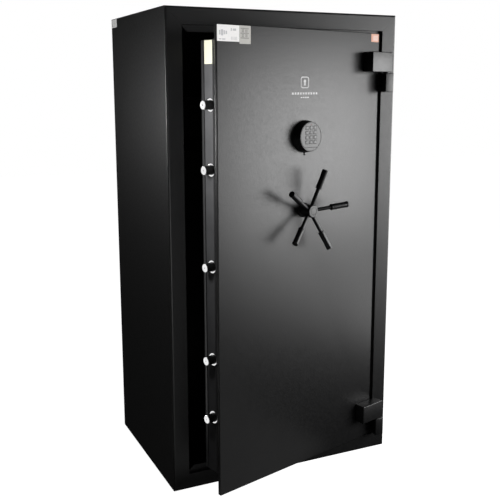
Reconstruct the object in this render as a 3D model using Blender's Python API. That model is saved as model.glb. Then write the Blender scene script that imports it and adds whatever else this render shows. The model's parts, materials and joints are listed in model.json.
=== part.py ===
"""Gun safe: steel cabinet, hinged door with five locking bolts, spoked handle and keypad lock.

The cabinet stands on z = 0 with its origin at the centre of its underside. The door faces -Y and
swings about the two outside hinges at its right-hand side. It stands ajar by DOOR_AJAR degrees.

Lengths are in millimetres, and Piece turns them into metres. Door parts are drawn with the door
shut, in cabinet coordinates, and then hang from an empty on the hinge axis.
"""
import math

import bmesh
import bpy
from mathutils import Matrix, Vector

MM = 0.001
GAP = 0.3                      # clearance between pieces that touch

# Cabinet
WIDTH = 794.0
DEPTH = 570.0
HEIGHT = 1500.0
WALL = 4.0
FRONT = -DEPTH / 2             # y of the cabinet's front face
BORDER = 51.0                  # width of the front frame's face
JAMB = 58.0                    # how far the frame's returns run back
EDGE_RADIUS = 6.0
RETURN = 10.0                  # how far the frame wraps onto the sides
STOP_DEPTH = 14.0              # from the front face to the door stop
STOP_WIDTH = 20.0
STOP_THICKNESS = 4.0

# Door
DOOR_AJAR = 15.5
DOOR_RIGHT = 334.5
DOOR_WIDTH = 668.0
DOOR_LEFT = DOOR_RIGHT - DOOR_WIDTH
DOOR_BOTTOM = 59.0
DOOR_TOP = 1440.0
PLATE = 12.5
BOX_INSET = 36.0               # from the plate's edge to the bolt box, at the sides
BOX_INSET_ENDS = 39.0          # the same, at the top and the bottom
BOX_BACK = 104.0
BOX_SHEET = 3.0
COVER_NECK = 4.0
COVER_BACK = 119.5
COVER_STEP = 2.8
DOG_REACH = 20.0               # how far the dog bar stands past the plate's edge

# Hinges
HINGE_X = DOOR_RIGHT + 16.5
HINGE_OUT = 20.0               # axis in front of the cabinet's front face
HINGE_BLOCK_OUT = 38.0
ARM_LEFT = DOOR_RIGHT - 70.5
ARM_RIGHT = HINGE_X + 9.0
ARM_RELIEF = 8.0
BASE_LEFT = HINGE_X - 13.3
BASE_RIGHT = HINGE_X + 18.0
HINGES = {"top": (1254.0, 1315.0, 1318.0, 1381.0), "bottom": (62.0, 123.0, 126.0, 187.0)}
PIN_RADIUS = 6.0
PIN_REACH = 44.0
PIN_COLLAR_RADIUS = 11.0

# Bolt work
BOLT_RADIUS = 13.5
BOLT_DEPTH = 76.0              # bolt centre line behind the door's face
BOLT_TIP = DOOR_LEFT + 7.5
BOLT_END = DOOR_LEFT + 90.0
BOLT_CENTRE_Z = 748.5
BOLT_OFFSETS = (472.0, 286.5, 0.0, -286.5, -472.0)
BUSH_FLANGE_RADIUS = 19.5
BUSH_FLANGE = 2.5
BUSH_RADIUS = 16.0
BUSH_REACH = 12.0
THROW = 30.0                   # travel of the bolts from drawn to thrown
BAR_THICKNESS = 6.0
BAR_FRONT = 40.0
BAR_BACK = 98.0
ARM_THICKNESS = 5.0

# Handle
HANDLE_X = (DOOR_LEFT + DOOR_RIGHT) / 2
HANDLE_Z = 897.0
SPINDLE_RADIUS = 8.0
SPINDLE_BACK = 56.0
ROSE_RADIUS = 23.0
ROSE_OUT = 8.0
HUB_RADIUS = 20.0
HUB_OUT = 45.0
SPOKE_COUNT = 5
SPOKE_FIRST_ANGLE = 12.4       # degrees clockwise from straight up
SPOKE_ROOT_OUT = 28.0
SPOKE_TIP_OUT = 65.0
SPOKE_TIP_RADIUS = 130.0
ROD_RADIUS = 5.8
GRIP_RADIUS = 9.4
GRIP_START = 75.0
CRANK_TURN = 60.0              # degrees the handle turns to throw the bolts
CRANK_RADIUS = THROW / (2 * math.sin(math.radians(CRANK_TURN / 2)))
CRANK_PIN_RADIUS = 5.0
CRANK_FRONT = 48.0
CRANK_BACK = 53.0
YOKE_CLEARANCE = 0.6

# Lock
LOCK_WIDTH = 61.0
LOCK_HEIGHT = 84.0
LOCK_BOTTOM = HANDLE_Z + 60.0
LOCK_BACK = 47.0
LOCK_BOLT_WIDTH = 14.0
LOCK_BOLT_TRAVEL = 9.0
TOOTH_WIDTH = 12.0

# Keypad
KEYPAD_X = HANDLE_X + 0.5
KEYPAD_Z = 1123.0
KEYPAD_BASE_RADIUS = 49.0
KEYPAD_FACE_RADIUS = 44.5
KEYPAD_OUT = 29.5
KEYPAD_SPLIT = -32.0           # top of the battery cover, from the keypad's centre
KEY_WIDTH = 13.0
KEY_HEIGHT = 10.5
KEY_PITCH_X = 17.0
KEY_PITCH_Z = 14.5
KEY_ROWS_CENTRE = 5.5
KEY_PROUD = 0.6
KEY_THICKNESS = 5.6
KEY_POCKET = 6.2
KEY_CLEARANCE = 0.4

# Inside the cabinet
SHELF_Z = 1230.0
SHELF_FRONT = -150.0
REST_Z = 1040.0
REST_DEPTH = 90.0
REST_THICKNESS = 28.0
REST_NOTCHES = 8
REST_PITCH = 88.0
REST_NOTCH_RADIUS = 19.0
MAT_THICKNESS = 6.0
ANCHOR_Y = 235.0
ANCHORS_X = (-300.0, 300.0)

HINGE_POINT = Vector((HINGE_X, FRONT - HINGE_OUT, 0.0))
HANDLE_POINT = Vector((HANDLE_X, FRONT, HANDLE_Z))
KEYPAD_POINT = Vector((KEYPAD_X, FRONT, KEYPAD_Z))
INSIDE_X = WIDTH / 2 - WALL - GAP


# ---------------------------------------------------------------- materials
def material(name, colour, roughness, metallic):
    """A Principled material with the piece's own colour and finish."""
    made = bpy.data.materials.new(name)
    made.use_nodes = True
    shader = made.node_tree.nodes["Principled BSDF"]
    shader.inputs["Base Color"].default_value = (*colour, 1.0)
    shader.inputs["Roughness"].default_value = roughness
    shader.inputs["Metallic"].default_value = metallic
    return made


# ---------------------------------------------------------------- mesh makers
def box(low, high, bevel=0.0):
    """A rectangular block between two corners, with optional chamfered edges."""
    mesh = bmesh.new()
    bmesh.ops.create_cube(mesh, size=1.0)
    size = [b - a for a, b in zip(low, high)]
    centre = [(a + b) / 2 for a, b in zip(low, high)]
    bmesh.ops.scale(mesh, vec=size, verts=mesh.verts)
    bmesh.ops.translate(mesh, vec=centre, verts=mesh.verts)
    if bevel:
        bmesh.ops.bevel(mesh, geom=mesh.edges[:], offset=bevel, segments=1, affect="EDGES")
    return mesh


def lathe(profile, sides, closed=False):
    """Turn (radius, height) points about +Z. A closed profile makes a ring."""
    mesh = bmesh.new()
    rings = []
    for radius, height in profile:
        ring = []
        for step in range(sides):
            angle = 2 * math.pi * step / sides
            ring.append(mesh.verts.new((radius * math.cos(angle), radius * math.sin(angle), height)))
        rings.append(ring)
    pairs = list(zip(rings, rings[1:]))
    if closed:
        pairs.append((rings[-1], rings[0]))
    for lower, upper in pairs:
        for step in range(sides):
            after = (step + 1) % sides
            mesh.faces.new((lower[step], lower[after], upper[after], upper[step]))
    if not closed:
        mesh.faces.new(list(reversed(rings[0])))
        mesh.faces.new(rings[-1])
    bmesh.ops.recalc_face_normals(mesh, faces=mesh.faces)
    return mesh


def placed(mesh, point, direction):
    """Move a turned mesh so that its +Z runs along a direction from a point."""
    turn = Vector((0, 0, 1)).rotation_difference(Vector(direction)).to_matrix().to_4x4()
    mesh.transform(Matrix.Translation(Vector(point)) @ turn)
    return mesh


def rod(point, direction, radius, length, sides=24, chamfer=0.0):
    """A round bar from a point along a direction, with chamfered ends."""
    profile = [(radius, 0.0), (radius, length)]
    if chamfer:
        profile = [(radius - chamfer, 0.0), (radius, chamfer),
                   (radius, length - chamfer), (radius - chamfer, length)]
    return placed(lathe(profile, sides), point, direction)


def extrude(bottom, top):
    """Join two matching outlines of 3-D points into one closed solid."""
    mesh = bmesh.new()
    low = [mesh.verts.new(p) for p in bottom]
    high = [mesh.verts.new(p) for p in top]
    count = len(low)
    for step in range(count):
        after = (step + 1) % count
        mesh.faces.new((low[step], low[after], high[after], high[step]))
    mesh.faces.new(list(reversed(low)))
    mesh.faces.new(high)
    bmesh.ops.recalc_face_normals(mesh, faces=mesh.faces)
    return mesh


def arc(centre_a, centre_b, radius, start, end, steps):
    """Points along an arc, angles in degrees."""
    points = []
    for step in range(steps + 1):
        angle = math.radians(start + (end - start) * step / steps)
        points.append((centre_a + radius * math.cos(angle), centre_b + radius * math.sin(angle)))
    return points


def joined(meshes):
    """Several separate solids in one mesh, for use as one cutter."""
    whole = bmesh.new()
    for mesh in meshes:
        scratch = bpy.data.meshes.new("scratch")
        mesh.to_mesh(scratch)
        mesh.free()
        whole.from_mesh(scratch)
        bpy.data.meshes.remove(scratch)
    return whole


# ---------------------------------------------------------------- objects
class Group:
    """An empty that carries pieces, at a point given in shut-door cabinet millimetres."""

    def __init__(self, name, point, parent=None, turn=0.0):
        self.point = Vector(point)
        self.empty = bpy.data.objects.new(name, None)
        self.empty.empty_display_size = 0.05
        bpy.context.scene.collection.objects.link(self.empty)
        base = Vector((0, 0, 0))
        if parent:
            self.empty.parent = parent.empty
            base = parent.point
        self.empty.location = (self.point - base) * MM
        self.empty.rotation_euler = (0, 0, turn)


def add_object(name, mesh, finish, group):
    """Link a mesh drawn in millimetres as an object that hangs from a group's empty."""
    mesh.transform(Matrix.Scale(MM, 4) @ Matrix.Translation(-group.point))
    data = bpy.data.meshes.new(name)
    mesh.to_mesh(data)
    mesh.free()
    data.shade_smooth()
    data.set_sharp_from_angle(angle=math.radians(35))
    if finish:
        data.materials.append(finish)
    made = bpy.data.objects.new(name, data)
    bpy.context.scene.collection.objects.link(made)
    made.parent = group.empty
    return made


def combine(target, mesh, group, operation):
    """Cut a mesh from an object, or add it, with a Boolean modifier and a hidden helper."""
    helper = add_object(target.name + "_" + operation.lower(), mesh, None, group)
    helper.hide_render = True
    helper.display_type = "WIRE"
    modifier = target.modifiers.new(operation.title(), "BOOLEAN")
    modifier.operation = operation
    modifier.solver = "EXACT"
    modifier.object = helper


# ---------------------------------------------------------------- cabinet
def frame_outline(with_stop):
    """Section of a front frame member: (distance in from the outer edge, depth) points."""
    points = [(0.0, RETURN)]
    points += arc(EDGE_RADIUS, EDGE_RADIUS, EDGE_RADIUS, 180, 270, 4)
    points.append((BORDER, 0.0))
    if with_stop:
        points += [(BORDER, STOP_DEPTH), (BORDER + STOP_WIDTH, STOP_DEPTH),
                   (BORDER + STOP_WIDTH, STOP_DEPTH + STOP_THICKNESS),
                   (BORDER, STOP_DEPTH + STOP_THICKNESS)]
    points += [(BORDER, JAMB), (BORDER - WALL, JAMB), (BORDER - WALL, WALL), (WALL, WALL),
               (WALL, RETURN)]
    return points


def frame_member(name, side, with_stop, finish, cabinet):
    """One mitred member of the front frame: left, right, top or bottom."""
    mitre = GAP / 2
    ends = ([], [])
    for inward, depth in frame_outline(with_stop):
        y = FRONT + depth
        if side in ("left", "right"):
            sign = -1 if side == "left" else 1
            x = sign * (WIDTH / 2 - inward)
            ends[0].append((x, y, inward + mitre))
            ends[1].append((x, y, HEIGHT - inward - mitre))
        else:
            z = HEIGHT - inward if side == "top" else inward
            ends[0].append((-WIDTH / 2 + inward + mitre, y, z))
            ends[1].append((WIDTH / 2 - inward - mitre, y, z))
    add_object(name, extrude(*ends), finish, cabinet)


def cabinet_panels(finish, cabinet):
    """Side, top, base and back sheets behind the front frame."""
    half = WIDTH / 2
    start = FRONT + RETURN + GAP
    back = -FRONT - WALL - GAP
    for name, sign in (("side_panel_left", -1), ("side_panel_right", 1)):
        edges = sorted((sign * half, sign * (half - WALL)))
        sheet = box((edges[0], start, 0.0), (edges[1], back, HEIGHT))
        add_object(name, sheet, finish, cabinet)
    top = box((-INSIDE_X, start, HEIGHT - WALL), (INSIDE_X, back, HEIGHT))
    add_object("top_panel", top, finish, cabinet)
    base = box((-INSIDE_X, start, 0.0), (INSIDE_X, back, WALL))
    base = add_object("base_panel", base, finish, cabinet)
    holes = [rod((x, ANCHOR_Y, -1.0), (0, 0, 1), 7.0, WALL + 2, 16) for x in ANCHORS_X]
    combine(base, joined(holes), cabinet, "DIFFERENCE")
    sheet = box((-half, -FRONT - WALL, 0.0), (half, -FRONT, HEIGHT), 1.0)
    add_object("back_panel", sheet, finish, cabinet)


def anchor_bolts(finish, cabinet):
    """Floor bolts whose hexagon heads and washers sit on the base sheet."""
    for name, x in zip(("anchor_bolt_left", "anchor_bolt_right"), ANCHORS_X):
        profile = [(5.6, GAP), (5.6, WALL + GAP), (14.0, WALL + GAP), (14.0, WALL + 2.8)]
        bolt = placed(lathe(profile, 24), (x, ANCHOR_Y, 0.0), (0, 0, 1))
        bolt = add_object(name, bolt, finish, cabinet)
        head = rod((x, ANCHOR_Y, WALL + 2.0), (0, 0, 1), 11.0, 8.5, 6, 0.8)
        combine(bolt, head, cabinet, "UNION")


def shelf(finish, cabinet):
    """Upper shelf: a tray with a turned-down front lip."""
    back = -FRONT - WALL - 2 * GAP
    outline = [(SHELF_FRONT, 0.0), (back, 0.0), (back, -18.0), (back - 2.0, -18.0), (back - 2.0, -2.0),
               (SHELF_FRONT + 2.0, -2.0), (SHELF_FRONT + 2.0, -20.0), (SHELF_FRONT, -20.0)]
    ends = [[(x, y, SHELF_Z + z) for y, z in outline] for x in (-INSIDE_X + GAP, INSIDE_X - GAP)]
    add_object("shelf", extrude(*ends), finish, cabinet)


def barrel_rest(finish, cabinet):
    """Padded bar across the back with a row of U-shaped notches for the barrels."""
    back = -FRONT - WALL - 2 * GAP
    front = back - REST_DEPTH
    outline = [(INSIDE_X - GAP, front), (INSIDE_X - GAP, back), (-INSIDE_X + GAP, back),
               (-INSIDE_X + GAP, front)]
    for index in range(REST_NOTCHES):
        x = (index - (REST_NOTCHES - 1) / 2) * REST_PITCH
        outline.append((x - REST_NOTCH_RADIUS, front))
        outline += arc(x, front + 26.0, REST_NOTCH_RADIUS, 180, 0, 8)
        outline.append((x + REST_NOTCH_RADIUS, front))
    ends = [[(x, y, z) for x, y in outline] for z in (REST_Z, REST_Z + REST_THICKNESS)]
    add_object("barrel_rest", extrude(*ends), finish, cabinet)


def floor_mat(finish, cabinet):
    """Rubber mat for the stocks, in front of the anchor bolts."""
    low = WALL + GAP
    mat = box((-360.0, -140.0, low), (360.0, 205.0, low + MAT_THICKNESS), 1.0)
    add_object("floor_mat", mat, finish, cabinet)


# ---------------------------------------------------------------- hinges
def hinge(name, levels, paint, steel, cabinet, door):
    """Frame block, pin with thrust collar, and door arm of one outside hinge."""
    base_low, base_high, arm_low, arm_high = levels
    axis = (HINGE_POINT.x, HINGE_POINT.y)
    y_out = FRONT - HINGE_BLOCK_OUT
    y_in = FRONT - GAP
    block = box((BASE_LEFT, y_out, base_low), (BASE_RIGHT, y_in, base_high), 1.6)
    block = add_object("hinge_base_" + name, block, paint, cabinet)
    bore_low = base_high - PIN_REACH - 1.0
    bore = rod((*axis, bore_low), (0, 0, 1), PIN_RADIUS + 0.4, PIN_REACH + 5.0)
    combine(block, bore, cabinet, "DIFFERENCE")

    pin_low = base_high - PIN_REACH
    pin_high = arm_low + PIN_REACH
    collar_low = base_high + GAP
    collar_high = arm_low - GAP
    profile = [(PIN_RADIUS - 1.0, pin_low), (PIN_RADIUS, pin_low + 1.0), (PIN_RADIUS, collar_low),
               (PIN_COLLAR_RADIUS, collar_low), (PIN_COLLAR_RADIUS, collar_high),
               (PIN_RADIUS, collar_high), (PIN_RADIUS, pin_high - 1.0), (PIN_RADIUS - 1.0, pin_high)]
    pin = placed(lathe(profile, 24), (*axis, 0.0), (0, 0, 1))
    add_object("hinge_pin_" + name, pin, steel, cabinet)

    outline = [(ARM_LEFT, y_in), (ARM_LEFT, y_out + 2.0), (ARM_LEFT + 2.0, y_out),
               (ARM_RIGHT - 2.0, y_out), (ARM_RIGHT, y_out + 2.0), (ARM_RIGHT, y_in - ARM_RELIEF),
               (ARM_RIGHT - ARM_RELIEF, y_in)]
    ends = [[(x, y, z) for x, y in outline] for z in (arm_low, arm_high)]
    arm = add_object("hinge_arm_" + name, extrude(*ends), paint, door)
    socket = rod((*axis, arm_low - 4.0), (0, 0, 1), PIN_RADIUS + 0.4, PIN_REACH + 5.0)
    combine(arm, socket, door, "DIFFERENCE")


# ---------------------------------------------------------------- door shell
def door_plate(finish, door):
    """The thick front plate, drilled for the handle's spindle."""
    low = (DOOR_LEFT, FRONT, DOOR_BOTTOM)
    high = (DOOR_RIGHT, FRONT + PLATE, DOOR_TOP)
    plate = add_object("door_plate", box(low, high, 1.0), finish, door)
    hole = rod(HANDLE_POINT - Vector((0, 5, 0)), (0, 1, 0), SPINDLE_RADIUS + 1.0, PLATE + 10, 24)
    combine(plate, hole, door, "DIFFERENCE")


def box_limits(inset):
    """Low x, high x, low z and high z of the bolt box, drawn in by an inset."""
    return (DOOR_LEFT + BOX_INSET + inset, DOOR_RIGHT - BOX_INSET - inset,
            DOOR_BOTTOM + BOX_INSET_ENDS + inset, DOOR_TOP - BOX_INSET_ENDS - inset)


def bolt_heights():
    """Heights of the five locking bolts, from the top one down."""
    return [BOLT_CENTRE_Z + offset for offset in BOLT_OFFSETS]


def door_box(finish, door):
    """The folded box behind the plate: four walls, open at front and back."""
    x0, x1, z0, z1 = box_limits(0.0)
    front = FRONT + PLATE + GAP
    back = FRONT + BOX_BACK
    walls = add_object("door_box", box((x0, front, z0), (x1, back, z1)), finish, door)
    x0, x1, z0, z1 = box_limits(BOX_SHEET)
    combine(walls, box((x0, front - 5, z0), (x1, back + 5, z1)), door, "DIFFERENCE")
    holes = []
    for z in bolt_heights():
        start = (DOOR_LEFT + BOX_INSET - 5, FRONT + BOLT_DEPTH, z)
        holes.append(rod(start, (1, 0, 0), BUSH_RADIUS + GAP, BOX_SHEET + 10, 32))
    combine(walls, joined(holes), door, "DIFFERENCE")


def door_back_cover(finish, door):
    """Insulated board that closes the back of the bolt box, with a narrower neck."""
    x0, x1, z0, z1 = box_limits(0.0)
    front = FRONT + BOX_BACK + COVER_NECK + GAP
    board = box((x0, front, z0), (x1, FRONT + COVER_BACK, z1), 1.0)
    board = add_object("door_back_cover", board, finish, door)
    x0, x1, z0, z1 = box_limits(COVER_STEP)
    neck = box((x0, FRONT + BOX_BACK + GAP, z0), (x1, front + 2.0, z1))
    combine(board, neck, door, "UNION")


def bolt_bushes(finish, door):
    """Flanged guide bushes pressed into the edge of the bolt box."""
    edge = DOOR_LEFT + BOX_INSET
    bore = BOLT_RADIUS + 0.5
    profile = [(bore, -BUSH_FLANGE), (BUSH_FLANGE_RADIUS - 0.8, -BUSH_FLANGE),
               (BUSH_FLANGE_RADIUS, -BUSH_FLANGE + 0.8), (BUSH_FLANGE_RADIUS, -GAP),
               (BUSH_RADIUS, -GAP), (BUSH_RADIUS, BUSH_REACH), (bore, BUSH_REACH)]
    for number, z in enumerate(bolt_heights(), 1):
        bush = placed(lathe(profile, 32, closed=True), (edge, FRONT + BOLT_DEPTH, z), (1, 0, 0))
        add_object(f"bolt_bush_{number}", bush, finish, door)


def dog_bar(finish, door):
    """Fixed bar that hooks behind the hinge-side jamb when the door is shut."""
    start = DOOR_RIGHT - BOX_INSET + GAP
    bar = box((start, FRONT + 62, 160), (DOOR_RIGHT + DOG_REACH, FRONT + 72, 1340), 1.0)
    add_object("hinge_side_dog_bar", bar, finish, door)


# ---------------------------------------------------------------- bolt work
def locking_bolts(finish, carriage):
    """Five round chromed bolts, screwed to the carriage bar."""
    for number, z in enumerate(bolt_heights(), 1):
        start = (BOLT_TIP, FRONT + BOLT_DEPTH, z)
        bolt = rod(start, (1, 0, 0), BOLT_RADIUS, BOLT_END - BOLT_TIP, 32, 1.6)
        add_object(f"locking_bolt_{number}", bolt, finish, carriage)


def carriage_bar(finish, carriage):
    """Vertical bar that carries the bolts, with the yoke arm and the lock's tooth."""
    left = BOLT_END + GAP
    right = left + BAR_THICKNESS
    low = BOLT_CENTRE_Z + BOLT_OFFSETS[-1] - 22.0
    high = BOLT_CENTRE_Z + BOLT_OFFSETS[0] + 22.0
    upright = box((left, FRONT + BAR_FRONT, low), (right, FRONT + BAR_BACK, high))
    bar = add_object("carriage_bar", upright, finish, carriage)

    rest_x = HANDLE_X + THROW / 2
    arm_low = HANDLE_Z + 13.0
    arm_high = HANDLE_Z + 44.0
    tooth_right = HANDLE_X - LOCK_BOLT_WIDTH / 2 - 1.0 + THROW
    tooth_left = tooth_right - TOOTH_WIDTH
    arm_end = rest_x + 16.0
    outline = [(left + 2.0, arm_low), (arm_end, arm_low), (arm_end, arm_high),
               (tooth_right, arm_high), (tooth_right, arm_high + 12.0),
               (tooth_left, arm_high + 12.0), (tooth_left, arm_high), (left + 2.0, arm_high)]
    ends = [[(x, FRONT + y, z) for x, z in outline] for y in (BAR_FRONT, BAR_FRONT + ARM_THICKNESS)]
    combine(bar, extrude(*ends), carriage, "UNION")

    slot_half = CRANK_PIN_RADIUS + YOKE_CLEARANCE
    low_centre = HANDLE_Z + CRANK_RADIUS * math.cos(math.radians(CRANK_TURN / 2)) - 0.6
    high_centre = HANDLE_Z + CRANK_RADIUS + 0.6
    slot = arc(rest_x, high_centre, slot_half, 0, 180, 8) + arc(rest_x, low_centre, slot_half, 180, 360, 8)
    ends = [[(x, FRONT + y, z) for x, z in slot] for y in (BAR_FRONT - 3, BAR_FRONT + ARM_THICKNESS + 3)]
    combine(bar, extrude(*ends), carriage, "DIFFERENCE")


# ---------------------------------------------------------------- handle
def handle_rose(finish, door):
    """Fixed round plate that the hub turns against."""
    bore = SPINDLE_RADIUS + 0.6
    profile = [(bore, GAP), (ROSE_RADIUS, GAP), (ROSE_RADIUS, ROSE_OUT - 2.5),
               (ROSE_RADIUS - 2.5, ROSE_OUT), (bore, ROSE_OUT)]
    rose = placed(lathe(profile, 40, closed=True), HANDLE_POINT, (0, -1, 0))
    add_object("handle_rose", rose, finish, door)


def handle_spindle(finish, handle):
    """Shaft from the hub through the plate to the crank."""
    out = 24.0
    start = HANDLE_POINT - Vector((0, out, 0))
    shaft = rod(start, (0, 1, 0), SPINDLE_RADIUS, out + SPINDLE_BACK, 24, 1.0)
    add_object("handle_spindle", shaft, finish, handle)


def spoke_line(index):
    """Root point and unit direction of one spoke, which leans away from the door."""
    angle = math.radians(SPOKE_FIRST_ANGLE + 360.0 * index / SPOKE_COUNT)
    outward = Vector((math.sin(angle), 0, math.cos(angle)))
    root = HANDLE_POINT + Vector((0, -SPOKE_ROOT_OUT, 0))
    tip = HANDLE_POINT + Vector((0, -SPOKE_TIP_OUT, 0)) + outward * SPOKE_TIP_RADIUS
    return root, (tip - root).normalized(), (tip - root).length


def handle_hub(finish, handle):
    """Round hub, bored for the spindle and the spokes."""
    low = ROSE_OUT + GAP
    profile = [(HUB_RADIUS - 1.5, low), (HUB_RADIUS, low + 1.5), (HUB_RADIUS, HUB_OUT - 4.0),
               (HUB_RADIUS - 1.2, HUB_OUT - 1.2), (HUB_RADIUS - 4.0, HUB_OUT)]
    hub = placed(lathe(profile, 40), HANDLE_POINT, (0, -1, 0))
    hub = add_object("handle_hub", hub, finish, handle)
    bore = rod(HANDLE_POINT - Vector((0, 24.4, 0)), (0, 1, 0), SPINDLE_RADIUS + 0.4, 26.0, 24)
    combine(hub, bore, handle, "DIFFERENCE")
    holes = []
    for index in range(SPOKE_COUNT):
        root, direction, _ = spoke_line(index)
        holes.append(rod(root + direction * 12.0, direction, ROD_RADIUS + 0.4, 20.0, 16))
    combine(hub, joined(holes), handle, "DIFFERENCE")


def handle_spokes(finish, handle):
    """Five thin rods, each ending in a thicker grip."""
    for index in range(SPOKE_COUNT):
        root, direction, length = spoke_line(index)
        profile = [(ROD_RADIUS, 12.5), (ROD_RADIUS, GRIP_START - 1.0),
                   (GRIP_RADIUS - 1.2, GRIP_START), (GRIP_RADIUS, GRIP_START + 1.2),
                   (GRIP_RADIUS - 0.3, (GRIP_START + length) / 2), (GRIP_RADIUS + 0.2, length - 3.0),
                   (GRIP_RADIUS - 0.5, length - 1.0), (GRIP_RADIUS - 2.5, length)]
        spoke = placed(lathe(profile, 20), root, direction)
        add_object(f"handle_spoke_{index + 1}", spoke, finish, handle)


def crank(finish, handle):
    """Lever on the spindle's inner end, whose pin works in the carriage's yoke."""
    half_turn = math.radians(CRANK_TURN / 2)
    pin = HANDLE_POINT + Vector((math.sin(half_turn), 0, math.cos(half_turn))) * CRANK_RADIUS
    start = HANDLE_POINT + Vector((0, CRANK_FRONT, 0))
    thickness = CRANK_BACK - CRANK_FRONT
    lever = rod(start, (0, 1, 0), SPINDLE_RADIUS + 7.0, thickness, 32)
    lever = add_object("crank", lever, finish, handle)
    turn = CRANK_TURN / 2
    big = arc(0, 0, SPINDLE_RADIUS + 5.0, 180 - turn, 360 - turn, 12)
    tip = arc(pin.x - HANDLE_X, pin.z - HANDLE_Z, CRANK_PIN_RADIUS + 3.5, -turn, 180 - turn, 10)
    ends = [[(HANDLE_X + x, FRONT + y, HANDLE_Z + z) for x, z in big + tip]
            for y in (CRANK_FRONT + 0.5, CRANK_BACK - 0.5)]
    combine(lever, extrude(*ends), handle, "UNION")
    pin_start = pin + Vector((0, BAR_FRONT - 3.0, 0))
    reach = (CRANK_FRONT + CRANK_BACK) / 2 - BAR_FRONT + 3.0
    combine(lever, rod(pin_start, (0, 1, 0), CRANK_PIN_RADIUS, reach, 24, 0.6), handle, "UNION")
    bore = rod(start - Vector((0, 5, 0)), (0, 1, 0), SPINDLE_RADIUS + GAP, thickness + 10, 24)
    combine(lever, bore, handle, "DIFFERENCE")


# ---------------------------------------------------------------- lock
def lock_body(finish, door):
    """Electronic lock case on the plate's inner side, with a slot for its bolt."""
    half = LOCK_WIDTH / 2
    low = (HANDLE_X - half, FRONT + PLATE + GAP, LOCK_BOTTOM)
    high = (HANDLE_X + half, FRONT + LOCK_BACK, LOCK_BOTTOM + LOCK_HEIGHT)
    case = add_object("lock_body", box(low, high, 1.5), finish, door)
    half = LOCK_BOLT_WIDTH / 2 + GAP
    slot = box((HANDLE_X - half, FRONT + 32 - GAP, LOCK_BOTTOM - 5),
               (HANDLE_X + half, FRONT + 44 + GAP, LOCK_BOTTOM + 42))
    combine(case, slot, door, "DIFFERENCE")


def lock_bolt(finish, bolt_group):
    """Small bolt that drops beside the carriage's tooth and blocks it."""
    half = LOCK_BOLT_WIDTH / 2
    low = (HANDLE_X - half, FRONT + 32, LOCK_BOTTOM - 1.5)
    high = (HANDLE_X + half, FRONT + 44, LOCK_BOTTOM + 40)
    add_object("lock_bolt", box(low, high, 0.8), finish, bolt_group)


# ---------------------------------------------------------------- keypad
def keypad_profile():
    """Turned outline of the keypad housing: (radius, distance off the door)."""
    rim = 3.0
    points = [(KEYPAD_BASE_RADIUS - 1.0, GAP), (KEYPAD_BASE_RADIUS, 1.3), (KEYPAD_BASE_RADIUS, 6.0)]
    corner = KEYPAD_FACE_RADIUS - rim
    points += [(corner + r, KEYPAD_OUT - rim + h) for r, h in arc(0, 0, rim, 15, 90, 3)]
    return points


def key_centres():
    """Column, row, and centre (x, z) of the twelve keys, top row first."""
    for row in range(4):
        for column in range(3):
            x = (column - 1) * KEY_PITCH_X
            z = (1.5 - row) * KEY_PITCH_Z + KEY_ROWS_CENTRE
            yield row * 3 + column, x, z


def keypad_housing(finish, door):
    """Round housing with a pocket for each key and a cut for the battery cover."""
    body = placed(lathe(keypad_profile(), 48), KEYPAD_POINT, (0, -1, 0))
    housing = add_object("keypad_housing", body, finish, door)
    reach = KEYPAD_BASE_RADIUS + 5
    below = box((KEYPAD_X - reach, FRONT - KEYPAD_OUT - 5, KEYPAD_Z - reach),
                (KEYPAD_X + reach, FRONT - 8.0, KEYPAD_Z + KEYPAD_SPLIT))
    combine(housing, below, door, "DIFFERENCE")
    half_x = KEY_WIDTH / 2 + KEY_CLEARANCE
    half_z = KEY_HEIGHT / 2 + KEY_CLEARANCE
    pockets = []
    for _, x, z in key_centres():
        pockets.append(box((KEYPAD_X + x - half_x, FRONT - KEYPAD_OUT - 5, KEYPAD_Z + z - half_z),
                           (KEYPAD_X + x + half_x, FRONT - KEYPAD_OUT + KEY_POCKET,
                            KEYPAD_Z + z + half_z)))
    combine(housing, joined(pockets), door, "DIFFERENCE")


def battery_cover(finish, group):
    """Lower slice of the keypad, which slides down off the housing."""
    body = placed(lathe(keypad_profile(), 48), KEYPAD_POINT, (0, -1, 0))
    cover = add_object("battery_cover", body, finish, group)
    reach = KEYPAD_BASE_RADIUS + 5
    keep = box((KEYPAD_X - reach, FRONT - KEYPAD_OUT - 5, KEYPAD_Z - reach),
               (KEYPAD_X + reach, FRONT - 8.0 - GAP, KEYPAD_Z + KEYPAD_SPLIT - GAP))
    combine(cover, keep, group, "INTERSECT")


def keypad_keys(finish, door):
    """Twelve push keys, each on its own empty at the key's centre."""
    for number, x, z in key_centres():
        centre = Vector((KEYPAD_X + x, FRONT - KEYPAD_OUT, KEYPAD_Z + z))
        group = Group(f"key_{number + 1}_slide", centre, door)
        low = centre + Vector((-KEY_WIDTH / 2, -KEY_PROUD, -KEY_HEIGHT / 2))
        high = centre + Vector((KEY_WIDTH / 2, KEY_THICKNESS - KEY_PROUD, KEY_HEIGHT / 2))
        add_object(f"key_{number + 1:02d}", box(low, high, 0.5), finish, group)


# ---------------------------------------------------------------- whole
def clear_scene():
    """Start from an empty scene."""
    for old in list(bpy.data.objects):
        bpy.data.objects.remove(old, do_unlink=True)


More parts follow.
